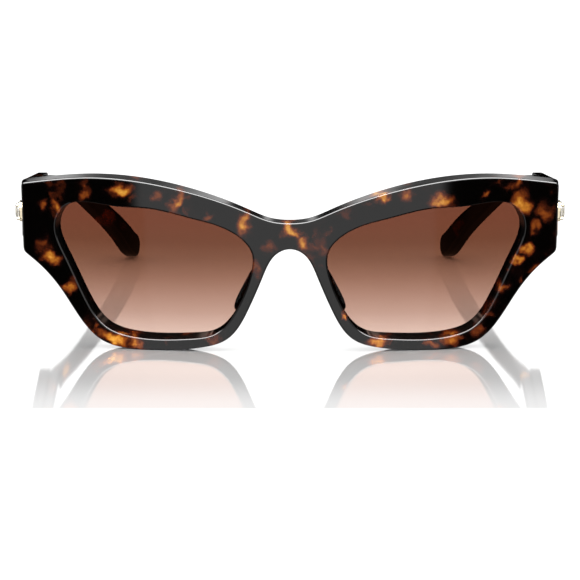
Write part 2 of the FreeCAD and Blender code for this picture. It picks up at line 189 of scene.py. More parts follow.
# Behind the object: a bright sill, a dark step and a strip. Heights are shares of BEHIND_TOP, which
# like the heights below is a height on the unit sphere.
BEHIND_TOP = 0.4
BEHIND_STRIPS = [
    (0.0, 1.0), (0.58, 1.0), (0.61, 0.75), (0.625, 0.7), (0.645, 0.1), (0.718, 0.1), (0.727, 0.45),
    (0.84, 0.45), (0.88, 0.02),
]
BEHIND_GAIN = 1.2
SILL_HEIGHT = 0.232
SILL_REACH = 0.1
UNDER_BEHIND = (-0.05, -0.15)
UNDER_HEIGHT = (-0.12, -0.25)
UNDER_LEVEL = 0.5
SIDE_SILL = (0.1, 0.12)
SIDE_SILL_TOP = (0.5, 0.45)
SIDE_SILL_BEARING = (148.0, 142.0)
ROOM_LIGHT = 1.25
# How soft each reflector's edge is, in degrees or in height or width on the unit sphere.
EDGE_SOFTNESS = 1.0
OVER_SOFTNESS = 6.0
BEHIND_SOFTNESS = 3.0
SOFTBOX_SOFTNESS = 4.0
SOFTBOX_SIDE_SOFTNESS = 0.12
SILL_SOFTNESS = 0.006
SILL_SIDE_SOFTNESS = 0.02


def make_world():
    world = bpy.data.worlds.new("studio")
    bpy.context.scene.world = world
    world.use_nodes = True
    n = Nodes(world.node_tree)
    direction = n.add("ShaderNodeTexCoord").outputs["Generated"]
    axes = n.add("ShaderNodeSeparateXYZ", {0: direction}).outputs
    ahead = n.math("MULTIPLY", axes["Y"], -1.0)
    degrees_per_radian = 180.0 / math.pi
    meridian = n.math("MULTIPLY", n.math("ARCTAN2", axes["Z"], ahead), degrees_per_radian)
    turned = n.math("MULTIPLY", n.math("ARCTAN2", axes["X"], ahead), degrees_per_radian)
    bearing = n.math("ABSOLUTE", turned)
    sideways = n.math("ABSOLUTE", axes["X"])

    panel = n.fade(bearing, PANEL_EDGE - EDGE_SOFTNESS, PANEL_EDGE + EDGE_SOFTNESS, PANEL, 0.0)
    flank_end = n.fade(bearing, *SIDE_FLAGS[2:], SIDE_LEVEL, 0.0)
    flank = n.math("MULTIPLY", n.fade(bearing, *SIDE_FLAGS[:2]), flank_end)
    level = n.math("MAXIMUM", panel, flank)
    sill = n.math("MULTIPLY", n.fade(axes["Z"], *SIDE_SILL), n.fade(axes["Z"], *SIDE_SILL_TOP))
    sill = n.math("MULTIPLY", sill, n.fade(bearing, *SIDE_SILL_BEARING))
    level = mix_value(n, sill, level, BEHIND_GAIN)
    over = n.fade(meridian, SOFTBOX_FROM, SOFTBOX_FROM + OVER_SOFTNESS)
    level = mix_value(n, over, level, GAP_LEVEL)

    strips = n.ramp(n.math("DIVIDE", axes["Z"], BEHIND_TOP), [(at, (v, v, v)) for at, v in BEHIND_STRIPS])
    low = n.fade(axes["Z"], SILL_HEIGHT - SILL_SOFTNESS, SILL_HEIGHT, 1.0, 0.0)
    wide = n.fade(sideways, SILL_REACH, SILL_REACH + SILL_SIDE_SOFTNESS)
    shaded = n.math("MULTIPLY", n.math("MULTIPLY", low, wide), BEHIND_GAIN)
    strips = n.math("MULTIPLY", strips, n.math("SUBTRACT", BEHIND_GAIN, shaded))
    level = mix_value(n, n.fade(meridian, BEHIND_FROM, BEHIND_FROM + BEHIND_SOFTNESS), level, strips)
    under = n.math("MULTIPLY", n.fade(ahead, *UNDER_BEHIND), n.fade(axes["Z"], *UNDER_HEIGHT))
    level = mix_value(n, under, level, UNDER_LEVEL)
    box_end = n.fade(meridian, SOFTBOX_TO, SOFTBOX_TO + SOFTBOX_SOFTNESS, 1.0, 0.0)
    box_side = n.fade(sideways, SOFTBOX_REACH, SOFTBOX_REACH + SOFTBOX_SIDE_SOFTNESS, 1.0, 0.0)
    box = n.math("MULTIPLY", n.math("MULTIPLY", over, box_end), box_side)
    studio = mix_value(n, box, level, SOFTBOX)

    path = n.add("ShaderNodeLightPath").outputs
    plain = n.add("ShaderNodeBackground", {"Color": (1, 1, 1, 1), "Strength": ROOM_LIGHT})
    seen = n.add("ShaderNodeBackground", {"Color": (1, 1, 1, 1), "Strength": 1.0})
    mirrored = n.add("ShaderNodeBackground", {"Color": (1, 1, 1, 1), "Strength": studio})
    lit = n.mix_shader(path["Is Glossy Ray"], plain, mirrored)
    shown = n.mix_shader(path["Is Camera Ray"], lit, seen)
    n.add("ShaderNodeOutputWorld", {"Surface": shown.outputs[0]})


def mix_value(n, factor, low, high):
    node = n.add("ShaderNodeMix", {"Factor": factor}, data_type="FLOAT")
    for key, value in (("A", low), ("B", high)):
        if isinstance(value, bpy.types.NodeSocket):
            n.tree.links.new(value, node.inputs[key])
        else:
            node.inputs[key].default_value = value
    return node.outputs["Result"]


FLOOR_HALF = 12.0
FLOOR_SQUARES = 8
FLOOR_WHITE = 0.9
MIRROR_ROUGHNESS = 0.05
# The floor's soft reflection, as depths and a half width in metres between which it fades.
MIRROR_SHARE = 0.57
MIRROR_FRONT = (-0.1395, -0.137)
MIRROR_FADE = (-0.138, -0.098)
MIRROR_END_SHARE = 0.35
MIRROR_BACK = (-0.075, 0.06)
MIRROR_BACK_SHARE = 0.12
MIRROR_SIDE = (0.1, 0.082)
GRAZE_IOR = 1.45
GRAZE = (0.06, 0.3)
LAMP_HEIGHT = 1.4
LAMP_SIZE = 1.6
LAMP_POWER = 6.0


def make_floor():
    bm = bmesh.new()
    bmesh.ops.create_grid(bm, x_segments=FLOOR_SQUARES, y_segments=FLOOR_SQUARES, size=FLOOR_HALF)
    mesh = bpy.data.meshes.new("floor")
    bm.to_mesh(mesh)
    bm.free()
    floor = bpy.data.objects.new("floor", mesh)
    bpy.context.scene.collection.objects.link(floor)
    material, n = new_material("floor_gloss")
    point = n.add("ShaderNodeTexCoord").outputs["Object"]
    axes = n.add("ShaderNodeSeparateXYZ", {0: point}).outputs
    depth = axes["Y"]
    share = n.fade(depth, *MIRROR_FADE, MIRROR_END_SHARE, MIRROR_SHARE)
    share = n.math("MULTIPLY", share, n.fade(depth, *MIRROR_FRONT))
    share = n.math("MULTIPLY", share, n.fade(depth, *MIRROR_BACK, 1.0, MIRROR_BACK_SHARE))
    share = n.math("MULTIPLY", share, n.fade(n.math("ABSOLUTE", axes["X"]), *MIRROR_SIDE))
    graze = n.add("ShaderNodeFresnel", {"IOR": GRAZE_IOR}).outputs[0]
    share = n.math("MULTIPLY", share, n.fade(graze, *GRAZE))
    matt = n.add("ShaderNodeBsdfDiffuse", {"Color": (FLOOR_WHITE, FLOOR_WHITE, FLOOR_WHITE, 1)})
    polish = n.add("ShaderNodeBsdfGlossy", {"Color": (1, 1, 1, 1), "Roughness": MIRROR_ROUGHNESS})
    finish_material(n, n.mix_shader(share, matt, polish))
    mesh.materials.append(material)
    floor.visible_glossy = False


def make_lamp():
    data = bpy.data.lights.new("softbox", "AREA")
    data.shape = "SQUARE"
    data.size = LAMP_SIZE
    data.energy = LAMP_POWER
    lamp = bpy.data.objects.new("softbox", data)
    lamp.location = (0.0, 0.0, LAMP_HEIGHT)
    lamp.visible_glossy = False
    bpy.context.scene.collection.objects.link(lamp)


# ------------------------------------------------------------------ materials


def new_material(name):
    material = bpy.data.materials.new(name)
    material.use_nodes = True
    return material, Nodes(material.node_tree)


def finish_material(n, shader):
    n.add("ShaderNodeOutputMaterial", {"Surface": shader.outputs[0]})


# Main flecks of the front's acetate: across, up, width, height, turn in degrees, strength. They run
# through the sheet. Strength 1 is amber and 0.6 red-brown.
FLECKS = [
    (-62, 38, 3, 6, 0, 0.82), (-66, 28, 4, 4, 0, 0.58), (-64.5, 24.5, 5, 4, 0, 0.95),
    (-59, 17, 3, 5, -20, 0.85), (-45, 43, 7, 4, 10, 1.0), (-35, 42, 3, 4, -15, 0.6),
    (-30, 40.5, 3, 8, -25, 0.9), (-22, 37, 4, 2, 12, 0.6), (-47, 3, 9, 4, -14, 1.0),
    (-12, 35, 4, 7, -10, 0.95), (0.5, 33.5, 6, 4, -20, 1.0), (3.5, 30, 4, 5, 35, 0.9),
    (9, 29, 4, 6, 20, 0.5), (24, 42, 6, 3, 12, 0.95), (31, 42.5, 4, 4, 20, 0.75),
    (40, 40.5, 6, 4, 5, 0.9), (51, 42, 2, 2, 0, 0.75), (61, 45, 4, 4, 0, 0.75),
    (62, 39, 5, 6, 15, 0.92), (68, 36.5, 5, 5, 0, 0.7), (63.5, 26.5, 4, 4, 10, 0.9),
    (60.5, 24, 3, 3, 25, 0.9), (65, 21.5, 4, 2, 35, 0.6), (57, 16.5, 3, 4, -25, 0.75),
    (14.5, 9.5, 2, 3, 0, 0.85), (24, 2.5, 6, 4, 0, 0.9), (43, 3, 6, 4, 20, 0.8),
    (50, 5, 3, 5, -30, 0.55), (-66, 39, 3, 3, 0, 0.7), (-55, 42.5, 3, 6, -12, 0.65),
    (-9, 22.5, 3, 5, 25, 0.55), (-20.5, 3, 5, 4, 0, 0.58), (-41, 2.5, 4, 5, 0, 0.8),
    (38, 1.5, 4, 3, 0, 0.68), (66, 32.5, 3, 3, 0, 0.72), (15, 38, 4, 4, 0, 0.5),
    (52.5, 11, 4, 6, -30, 0.52), (-6, 29, 4, 3, 0, 0.52),
]
ACETATE_STOPS = [
    (0.0, (0.0008, 0.0006, 0.0005)), (0.2, (0.0035, 0.0012, 0.001)), (0.45, (0.05, 0.009, 0.003)),
    (0.68, (0.20, 0.045, 0.007)), (0.85, (0.44, 0.16, 0.018)), (1.0, (0.64, 0.31, 0.045)),
]
FLECK_DEPTH = 30.0
# A fleck's full strength inside the first distance and none beyond the second, in half widths.
FLECK_FADE = (0.05, 1.75)
ACETATE_IOR = 1.49
# Noise scales are per metre, reaches and heights in metres, and a fade is a pair of noise values.
GRAIN_SCALE = 900.0
GRAIN_FADE = (0.2, 0.8)
GRAIN_SHADE = (0.86, 1.08)
WAVE_SCALE = 110.0
WAVE_STRENGTH = 0.03
WAVE_HEIGHT = 0.0004
POLISH_SCALE = 45.0
POLISH_FADE = (0.3, 0.7)
POLISH_ROUGHNESS = (0.035, 0.075)
FRONT_RAGGED_SCALE = 260.0
FRONT_RAGGED_REACH = 0.007
FRONT_MOTTLE_SCALE = 130.0
FRONT_MOTTLE_FADE = (0.54, 0.78)
FRONT_MOTTLE_STRENGTH = 0.62
TEMPLE_RAGGED_SCALE = 230.0
TEMPLE_RAGGED_REACH = 0.004
TEMPLE_STRETCH = (1.0, 0.72, 1.0)
TEMPLE_BLOTCH_SCALE = 105.0
TEMPLE_BLOTCH_FADE = (0.51, 0.68)
TEMPLE_TONE_SCALE = 42.0
TEMPLE_TONE_FADE = (0.35, 0.62)
TEMPLE_TONE_LOW = 0.55


def acetate_shader(n, field, point):
    grain = n.noise(point, GRAIN_SCALE, detail=3.0).outputs["Fac"]
    mottle = n.fade(grain, *GRAIN_FADE, *GRAIN_SHADE)
    colour = n.ramp(n.math("MULTIPLY", field, mottle), ACETATE_STOPS)
    wave = n.noise(point, WAVE_SCALE, detail=1.0).outputs["Fac"]
    bump = n.add("ShaderNodeBump", {"Height": wave, "Strength": WAVE_STRENGTH, "Distance": WAVE_HEIGHT})
    wear = n.noise(point, POLISH_SCALE, detail=4.0).outputs["Fac"]
    polish = n.fade(wear, *POLISH_FADE, *POLISH_ROUGHNESS)
    shader = n.add("ShaderNodeBsdfPrincipled", {"Base Color": colour, "Roughness": polish,
                                                "IOR": ACETATE_IOR, "Normal": bump.outputs[0]})
    finish_material(n, shader)


def wandering_point(n, scale, reach):
    """The point in the object's own frame, pushed about a little so that flecks have ragged edges."""
    point = n.add("ShaderNodeTexCoord").outputs["Object"]
    push = n.vector("SUBTRACT", n.noise(point, scale, detail=3.5).outputs["Color"], (0.5, 0.5, 0.5))
    scaled = n.add("ShaderNodeVectorMath", {0: push, "Scale": reach}, operation="SCALE").outputs[0]
    return point, n.vector("ADD", point, scaled)


def front_acetate():
    material, n = new_material("havana_front")
    point, moved = wandering_point(n, FRONT_RAGGED_SCALE, FRONT_RAGGED_REACH)
    field = None
    for across, up, width, height, turn, strength in FLECKS:
        local = n.add("ShaderNodeMapping", {
            "Vector": moved,
            "Location": (across * MM, -ORIGIN_DEPTH * MM, up * MM),
            "Rotation": (0.0, -math.radians(turn), 0.0),
            "Scale": (width / 2 * MM, FLECK_DEPTH * MM, height / 2 * MM),
        }, vector_type="TEXTURE")
        reach = n.add("ShaderNodeVectorMath", {0: local.outputs[0]}, operation="LENGTH").outputs["Value"]
        value = n.fade(reach, *FLECK_FADE, strength, 0.0)
        field = value if field is None else n.math("MAXIMUM", field, value)
    small = n.noise(moved, FRONT_MOTTLE_SCALE, detail=2.5).outputs["Fac"]
    mottle = n.fade(small, *FRONT_MOTTLE_FADE, 0.0, FRONT_MOTTLE_STRENGTH)
    acetate_shader(n, n.math("MAXIMUM", field, mottle), point)
    return material


def temple_acetate():
    material, n = new_material("havana_temple")
    point, moved = wandering_point(n, TEMPLE_RAGGED_SCALE, TEMPLE_RAGGED_REACH)
    stretched = n.vector("MULTIPLY", moved, TEMPLE_STRETCH)
    blotch = n.noise(stretched, TEMPLE_BLOTCH_SCALE, detail=1.5, roughness=0.45).outputs["Fac"]
    tone = n.noise(stretched, TEMPLE_TONE_SCALE, detail=0.0).outputs["Fac"]
    field = n.fade(blotch, *TEMPLE_BLOTCH_FADE)
    strength = n.fade(tone, *TEMPLE_TONE_FADE, TEMPLE_TONE_LOW, 1.0)
    acetate_shader(n, n.math("MULTIPLY", field, strength), point)
    return material


# Light let through the lens, from its lowest point up: height in millimetres and colour. The stop at 5 mm
# is lighter than the lens's own tint. That is painted light, making up for the shade and the frame's dark
# reflection on the floor seen behind the lens's lower edge.
LENS_TINT_AND_PAINTED_LIGHT = [
    (5, (0.68, 0.48, 0.40)), (10, (0.49, 0.305, 0.24)), (15, (0.37, 0.205, 0.152)),
    (20, (0.26, 0.125, 0.083)), (25, (0.177, 0.074, 0.044)), (29.5, (0.14, 0.05, 0.027)),
    (35, (0.144, 0.046, 0.025)),
]
TINT_TOP = 42.0
LENS_GLOSS = 0.007
LENS_GRAZE_GLOSS = 0.35
LENS_GRAZE_POWER = 4.0
LENS_ROUGHNESS = 0.02


def lens_material():
    material, n = new_material("lens_gradient")
    point = n.add("ShaderNodeTexCoord").outputs["Object"]
    height = n.add("ShaderNodeSeparateXYZ", {0: point}).outputs["Z"]
    share = n.math("DIVIDE", height, TINT_TOP * MM)
    # Light crosses two faces, so each takes the square root of the whole tint.
    stops = [(up / TINT_TOP, tuple(math.sqrt(c) for c in colour)) for up, colour in LENS_TINT_AND_PAINTED_LIGHT]
    tint = n.ramp(share, stops)
    clear = n.add("ShaderNodeBsdfTransparent", {"Color": tint})
    gloss = n.add("ShaderNodeBsdfGlossy", {"Color": (1, 1, 1, 1), "Roughness": LENS_ROUGHNESS})
    facing = n.add("ShaderNodeLayerWeight", {"Blend": 0.5}).outputs["Facing"]
    graze = n.math("MULTIPLY", n.math("POWER", facing, LENS_GRAZE_POWER), LENS_GRAZE_GLOSS)
    shader = n.mix_shader(n.math("ADD", graze, LENS_GLOSS), clear, gloss)
    finish_material(n, shader)
    return material


BRUSH_STRETCH = (0.15, 0.15, 3.0)
BRUSH_FADE = (0.3, 0.7)
BRUSH_ROUGHNESS = (0.75, 1.3)
BRUSH_HEIGHT = 0.000004
BRUSH_SHADE = 0.9


def metal_material(name, colour, roughness, grain_scale, grain_strength):
    material, n = new_material(name)
    point = n.add("ShaderNodeTexCoord").outputs["Object"]
    lines = n.vector("MULTIPLY", point, BRUSH_STRETCH)
    grain = n.noise(lines, grain_scale, detail=4.0, roughness=0.65).outputs["Fac"]
    rough = n.fade(grain, *BRUSH_FADE, *(roughness * share for share in BRUSH_ROUGHNESS))
    bump = n.add("ShaderNodeBump", {"Height": grain, "Strength": grain_strength, "Distance": BRUSH_HEIGHT})
    dark = tuple(c * BRUSH_SHADE for c in colour)
    shade = n.ramp(grain, list(zip(BRUSH_FADE, (dark, colour))))
    shader = n.add("ShaderNodeBsdfPrincipled", {"Base Color": shade, "Metallic": 1.0, "Roughness": rough,
                                                "Normal": bump.outputs[0]})
    finish_material(n, shader)
    return material


CRYSTAL_MILK = 0.45
CRYSTAL_IOR = 1.75
CRYSTAL_CLOUD_SCALE = 1500.0
CRYSTAL_CLOUD_FADE = (0.3, 0.7)
CRYSTAL_CLOUD = 0.02


def crystal_material():
    material, n = new_material("crystal_clear")
    point = n.add("ShaderNodeTexCoord").outputs["Object"]
    grain = n.noise(point, CRYSTAL_CLOUD_SCALE).outputs["Fac"]
    cloud = n.fade(grain, *CRYSTAL_CLOUD_FADE, 0.0, CRYSTAL_CLOUD)
    clear = n.add("ShaderNodeBsdfPrincipled", {"Base Color": (0.98, 0.985, 1.0, 1), "Roughness": cloud,
                                               "IOR": CRYSTAL_IOR, "Transmission Weight": 1.0})
    pale = n.add("ShaderNodeBsdfTranslucent", {"Color": (0.95, 0.95, 0.93, 1)})
    shader = n.mix_shader(CRYSTAL_MILK, clear, pale)
    finish_material(n, shader)
    return material


# ------------------------------------------------------------------ curves and plates


def spline(points, step, closed=False):
    """A smooth curve through points, as one point every step, by the natural or periodic cubic."""
    p = np.array(points, float)
    if closed:
        p = np.vstack([p, p[:1]])
    h = np.linalg.norm(np.diff(p, axis=0), axis=1)
    t = np.concatenate([[0.0], np.cumsum(h)])
    slope = np.diff(p, axis=0) / h[:, None]
    count = len(p)
    matrix = np.eye(count)
    right = np.zeros_like(p)
    for i in range(1, count - 1):
        matrix[i, i - 1:i + 2] = h[i - 1], 2 * (h[i - 1] + h[i]), h[i]
        right[i] = 6 * (slope[i] - slope[i - 1])
    if closed:
        matrix[0, 0], matrix[0, 1], matrix[0, -2] = 2 * (h[-1] + h[0]), h[0], h[-1]
        right[0] = 6 * (slope[0] - slope[-1])
        matrix[-1, 0] = -1.0
    bend = np.linalg.solve(matrix, right)
    at = np.linspace(0.0, t[-1], max(2, int(round(t[-1] / step))) + 1)
    i = np.clip(np.searchsorted(t, at, side="right") - 1, 0, count - 2)
    a = ((t[i + 1] - at) / h[i])[:, None]
    b = 1.0 - a
    hh = (h[i] ** 2)[:, None] / 6
    curve = a * p[i] + b * p[i + 1] + ((a ** 3 - a) * bend[i] + (b ** 3 - b) * bend[i + 1]) * hh
    return curve[:-1] if closed else curve


def mirrored(points):
    return [(-x, z) for x, z in reversed(points)]


def rounded(loop, radius, step):
    """The closed polygon with points at even steps and its corners softened to about the radius."""
    soft = even(np.array(loop, float), step)
    for _ in range(max(1, round(1.5 * (radius / step) ** 2))):
        soft = (np.roll(soft, 1, axis=0) + 2 * soft + np.roll(soft, -1, axis=0)) / 4
    return even(soft, step)


def even(loop, step):
    """The closed loop with points at even steps along it."""
    length = np.cumsum(np.linalg.norm(np.diff(np.vstack([loop, loop[:1]]), axis=0), axis=1))[-1]
    return resample(loop, int(round(length / step)))


def resample(loop, count):
    """The closed loop as count points at even steps."""
    closed = np.vstack([loop, loop[:1]])
    along = np.concatenate([[0.0], np.cumsum(np.linalg.norm(np.diff(closed, axis=0), axis=1))])
    at = np.linspace(0.0, along[-1], count, endpoint=False)
    return np.column_stack([np.interp(at, along, closed[:, k]) for k in range(2)])


def signed_area(loop):
    x, y = loop[:, 0], loop[:, 1]
    return 0.5 * float(np.sum(x * np.roll(y, -1) - np.roll(x, -1) * y))


def inward(loop):
    """Unit vectors towards the material, which is on the left of every loop."""
    along = np.roll(loop, -1, axis=0) - np.roll(loop, 1, axis=0)
    left = np.column_stack([-along[:, 1], along[:, 0]])
    return left / np.linalg.norm(left, axis=1)[:, None]


def inside(points, loop):
    """Which of the points are within the loop."""
    x, y = points[:, 0][:, None], points[:, 1][:, None]
    x0, y0 = loop[:, 0][None], loop[:, 1][None]
    x1, y1 = np.roll(loop[:, 0], -1)[None], np.roll(loop[:, 1], -1)[None]
    crosses = (y0 > y) != (y1 > y)
    height = np.where(y1 == y0, 1e-12, y1 - y0)
    return (np.sum(crosses & (x < (x1 - x0) * (y - y0) / height + x0), axis=1) % 2) == 1


def unit(vectors):
    return vectors / np.maximum(np.linalg.norm(vectors, axis=1), 1e-12)[:, None]


def tube_walls(rings, turns):
    """Faces between rings of turns points each."""
    faces = []
    for i in range(rings - 1):
        for t in range(turns):
            u = (t + 1) % turns
            faces.append((i * turns + t, i * turns + u, (i + 1) * turns + u, (i + 1) * turns + t))
    return faces


def tube_faces(rings, turns):
    """The walls with a cap over the first ring and the last."""
    caps = [tuple(range(turns))[::-1], tuple(range((rings - 1) * turns, rings * turns))]
    return caps + tube_walls(rings, turns)


class Plate:
    """A solid between two surfaces w = near(u, v) and w = far(u, v), bounded by loops in (u, v).

    Each boundary is a pair of loops, one on each surface, with the material on their left. place(u,
    v, w) gives millimetres in the shared frame. Edges are rounded and every vertex gets its own
    exact normal, so that reflections run smoothly.
    """

    ROUND_STEPS = 5
    # How far to either side the slope of a surface is measured, and how far inside a loop to look.
    SLOPE_REACH = 0.05
    INNER_REACH = 0.2
    # The grid's points keep this share of a step away from the loops.
    LOOP_GAP = 0.45
    MERGE_DISTANCE = 1e-7
    # Twice the area in square millimetres under which a triangle is only points in one line.
    SLIVER = 1e-5

    def __init__(self, near, far, place, boundaries, near_round, far_round, grid):
        self.near, self.far, self.place = near, far, place
        self.points, self.normals, self.faces = [], [], []
        self.count = 0
        near_rims, far_rims = [], []
        for near_loop, far_loop in boundaries:
            first, last = self.wall(near_loop, far_loop, near_round, far_round)
            near_rims.append(first)
            far_rims.append(last)
        self.cover(near_rims, near, far, grid)
        self.cover(far_rims, far, near, grid)

    def spot(self, loop, surface, other, lift=0.0):
        """Points on the loop at a depth of lift below surface, towards the other surface."""
        u, v = loop[:, 0], loop[:, 1]
        w = surface(u, v)
        return self.place(u, v, w + lift * np.sign(other(u, v) - w))

    def surface_normals(self, loop, surface, other):
        u, v = loop[:, 0], loop[:, 1]
        e = self.SLOPE_REACH
        du = self.place(u + e, v, surface(u + e, v)) - self.place(u - e, v, surface(u - e, v))
        dv = self.place(u, v + e, surface(u, v + e)) - self.place(u, v - e, surface(u, v - e))
        normals = unit(np.cross(du, dv))
        out = self.place(u, v, surface(u, v)) - self.place(u, v, other(u, v))
        return normals * np.sign(np.sum(normals * out, axis=1))[:, None]

    def ring(self, points, normals):
        self.points.append(points)
        self.normals.append(normals)
        start = self.count
        self.count += len(points)
        return np.arange(start, self.count)

    def strip(self, one, two):
        """Faces between two rings."""
        a, b = one, np.roll(one, -1)
        c, d = np.roll(two, -1), two
        p, q = np.vstack(self.points), np.vstack(self.normals)
        side = np.cross(p[b] - p[a], p[d] - p[a])
        flip = np.sum(side * (q[a] + q[d])) < 0
        self.faces += [tuple(f[::-1]) if flip else tuple(f) for f in zip(a, b, c, d)]

    def wall(self, near_loop, far_loop, near_round, far_round):
        near_top = self.spot(near_loop, self.near, self.far)
        far_top = self.spot(far_loop, self.far, self.near)
        along = np.roll(near_top, -1, axis=0) - np.roll(near_top, 1, axis=0)
        side = unit(np.cross(along, far_top - near_top))
        step = inward(near_loop)
        inner = near_loop + step * self.INNER_REACH
        level = self.near(near_loop[:, 0], near_loop[:, 1])
        away = near_top - self.place(inner[:, 0], inner[:, 1], level)
        side = side * np.sign(np.sum(side * away, axis=1))[:, None]
        rings = []
        for loop, surface, other, radius, order in (
            (near_loop, self.near, self.far, near_round, 1),
            (far_loop, self.far, self.near, far_round, -1),
        ):
            face = self.surface_normals(loop, surface, other)
            step = inward(loop)
            angles = [math.pi / 2 * k / self.ROUND_STEPS for k in range(self.ROUND_STEPS + 1)]
            made = []
            for angle in angles:
                moved = loop + step * radius * (1 - math.sin(angle))
                lift = radius * (1 - math.cos(angle))
                blend = unit(face * math.cos(angle) + side * math.sin(angle))
                made.append((self.spot(moved, surface, other, lift), blend, moved))
            rings += made[::order]
        numbers = [self.ring(points, normals) for points, normals, _ in rings]
        for one, two in zip(numbers, numbers[1:]):
            self.strip(one, two)
        return (rings[0][2], numbers[0]), (rings[-1][2], numbers[-1])

    def cover(self, rims, surface, other, grid):
        """The face inside the rims, with extra points every grid."""
        loops = [loop for loop, _ in rims]
        numbers = list(np.concatenate([ring for _, ring in rims]))
        flat = np.vstack(loops)
        low, high = loops[0].min(axis=0), loops[0].max(axis=0)
        across, up = (np.arange(low[k] + grid / 2, high[k], grid) for k in range(2))
        u, v = np.meshgrid(across, up)
        extra = np.column_stack([u.ravel(), v.ravel()])
        within = inside(extra, loops[0])
        for hole in loops[1:]:
            within &= ~inside(extra, hole)
        extra = extra[within]
        gaps = np.array([np.min(np.sum((flat - e) ** 2, axis=1)) for e in extra])
        extra = extra[gaps > (grid * self.LOOP_GAP) ** 2]
        normals = self.surface_normals(extra, surface, other)
        numbers += list(self.ring(self.spot(extra, surface, other), normals))
        edges, start = [], 0
        for loop in loops:
            edges += [(start + k, start + (k + 1) % len(loop)) for k in range(len(loop))]
            start += len(loop)
        every = np.vstack([flat, extra])
        made = delaunay_2d_cdt([Vector(p) for p in every], edges, [], 0, self.MERGE_DISTANCE, True)
        # A point added where two edges cross becomes the given point nearest to it.
        origin = [ids[0] if ids else int(np.argmin(np.sum((every - np.array(spot)) ** 2, axis=1)))
                  for spot, ids in zip(made[0], made[3])]
        triangles = np.array([[origin[k] for k in face] for face in made[2]])
        one, two, three = every[triangles].transpose(1, 0, 2)
        doubled = (two - one)[:, 0] * (three - one)[:, 1] - (two - one)[:, 1] * (three - one)[:, 0]
        triangles = triangles[np.abs(doubled) > self.SLIVER]
        middle = every[triangles].mean(axis=1)
        keep = inside(middle, loops[0])
        for hole in loops[1:]:
            keep &= ~inside(middle, hole)
        triangles = triangles[keep]
        numbers = np.array(numbers)
        p, q = np.vstack(self.points), np.vstack(self.normals)
        for tri in numbers[triangles]:
            a, b, c = p[tri]
            good = np.cross(b - a, c - a) @ q[tri].sum(axis=0) > 0
            self.faces.append(tuple(tri if good else tri[::-1]))

    def build(self, name, material, side=1.0, floor=False):
        points, normals = np.vstack(self.points).copy(), np.vstack(self.normals).copy()
        faces = self.faces
        if side < 0:
            points[:, 0] *= -1
            normals[:, 0] *= -1
            faces = [face[::-1] for face in faces]
        if floor:
            points[:, 2] = np.maximum(points[:, 2], 0.0)
        return mesh_piece(name, points, faces, material, normals)


def mesh_piece(name, points, faces, material, normals=None, smooth_angle=None):
    mesh = bpy.data.meshes.new(name)
    corners = [tuple(p) for p in np.asarray(points) * MM]
    mesh.from_pydata(corners, [], [tuple(int(k) for k in f) for f in faces])
    mesh.validate()
    smooth = normals is not None or smooth_angle is not None
    mesh.polygons.foreach_set("use_smooth", [smooth] * len(mesh.polygons))
    if smooth_angle is not None:
        mesh.set_sharp_from_angle(angle=smooth_angle)
    if normals is not None:
        mesh.normals_split_custom_set_from_vertices([tuple(v) for v in normals])
    mesh.materials.append(material)
    piece = bpy.data.objects.new(name, mesh)
    bpy.context.scene.collection.objects.link(piece)
    return piece


def declare(piece, body, slot, *nodes):
    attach(piece, body)
    if nodes:
        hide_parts(*nodes)


# ------------------------------------------------------------------ places


def front_place(u, v, w):
    """Across, up and depth in the leaning front, as millimetres in the shared frame."""
    y = w * math.cos(LEAN) - v * math.sin(LEAN) - ORIGIN_DEPTH
    z = w * math.sin(LEAN) + v * math.cos(LEAN) - DROP
    return np.column_stack([u, y, z])


def sag(radius, across):
    return radius - np.sqrt(radius ** 2 - np.asarray(across) ** 2)


CURVE_STEP = 0.5
SWELL_CURVE = spline(mirrored(REAR_SWELL)[:-1] + REAR_SWELL, CURVE_STEP)


def front_face(u, v):
    return sag(FRONT_RADIUS, u)


def front_rear(u, v):
    return BRIDGE_THICKNESS + sag(BACK_RADIUS, u) + np.interp(u, SWELL_CURVE[:, 0], SWELL_CURVE[:, 1])


LENS_DEPTH = float(sag(FRONT_RADIUS, LENS_CENTRE[0])) + LENS_INSET
LENS_APEX = np.array([LENS_CENTRE[0], LENS_DEPTH, LENS_CENTRE[1]])


def lens_to_front(local):
    """(across, depth, up) about the lens's foremost point, as the same in the front's own frame."""
    c, s = math.cos(LENS_WRAP), math.sin(LENS_WRAP)
    x, y, z = local.T
    return np.column_stack([c * x - s * y, s * x + c * y, z]) + LENS_APEX


def lens_place(u, v, w):
    moved = lens_to_front(np.column_stack([u, w, v]))
    return front_place(moved[:, 0], moved[:, 2], moved[:, 1])


def lens_face(u, v):
    return LENS_RADIUS - np.sqrt(LENS_RADIUS ** 2 - u ** 2 - v ** 2)


def lens_back(u, v):
    return LENS_RADIUS - np.sqrt((LENS_RADIUS - LENS_THICKNESS) ** 2 - u ** 2 - v ** 2)


EDGE_STEP = 0.45
# Edge roundings and grid steps in millimetres: near face, far face, grid.
FRONT_MESH = (0.5, 0.6, 1.6)
LENS_MESH = (0.15, 0.15, 2.2)
OUTLINE_ROUND = 0.7
CONE_ROUNDS = 8
RIM_LOOP = spline(LENS_EDGE, EDGE_STEP, closed=True)


def cone_loop(surface, cover):
    """The lens edge, widened by cover, where its cone meets a surface in the lens's own frame."""
    table = np.array(LENS_EDGE)
    grow = 1 + cover / np.abs(table).max(axis=0)
    edge = RIM_LOOP * grow
    loop = edge.copy()
    for _ in range(CONE_ROUNDS):
        share = (RIM_FOCUS - surface(loop[:, 0], loop[:, 1])) / RIM_FOCUS
        loop = edge * share[:, None]
    return loop


